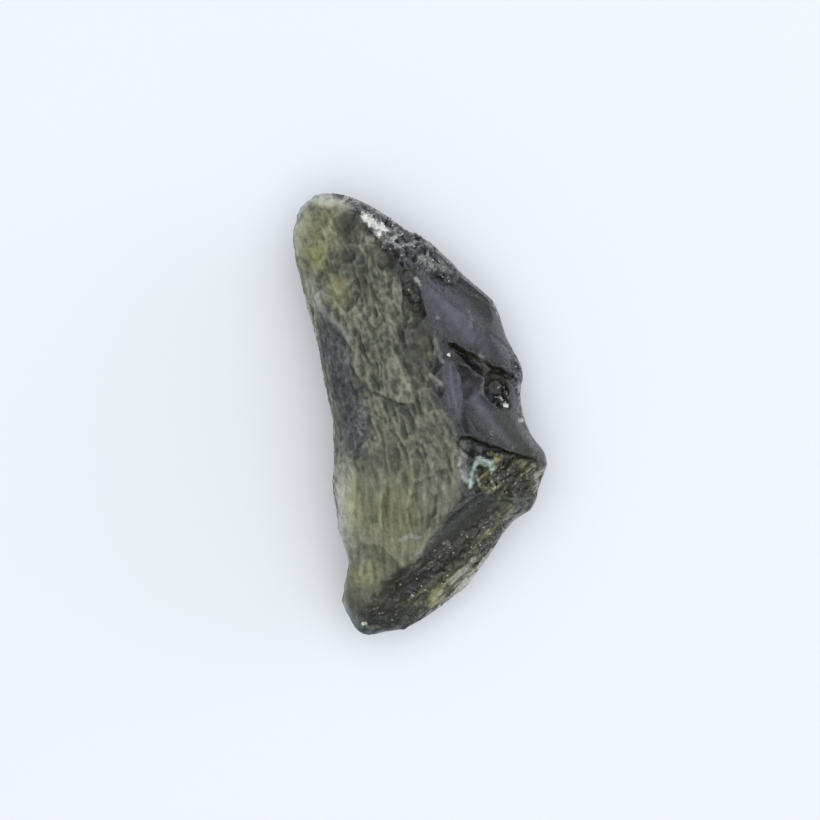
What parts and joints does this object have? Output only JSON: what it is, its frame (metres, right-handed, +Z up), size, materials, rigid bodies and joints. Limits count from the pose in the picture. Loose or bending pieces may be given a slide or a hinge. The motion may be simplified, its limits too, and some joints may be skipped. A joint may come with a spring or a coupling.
{
  "type": "moldavite",
  "caption": "Raw half-moon shard of dark green natural glass, etched on one side and shell-broken on the other, lying on its flattest side.",
  "frame": {"origin": "bottom centre of the stone's box, on the surface that it rests on", "axes": "+Y along the stone towards its rounded lobe, +X towards its bulging broken side, +Z up out of its skin"},
  "size_m": [0.0172, 0.03, 0.0098],
  "materials": {
    "moldavite_glass": "dark olive-green translucent glass, matt and etched on the skin, glossy on the fresh breaks, paler where it is thin"
  },
  "bodies": {
    "root": {"moldavite": "moldavite_glass"}
  },
  "joints": []
}
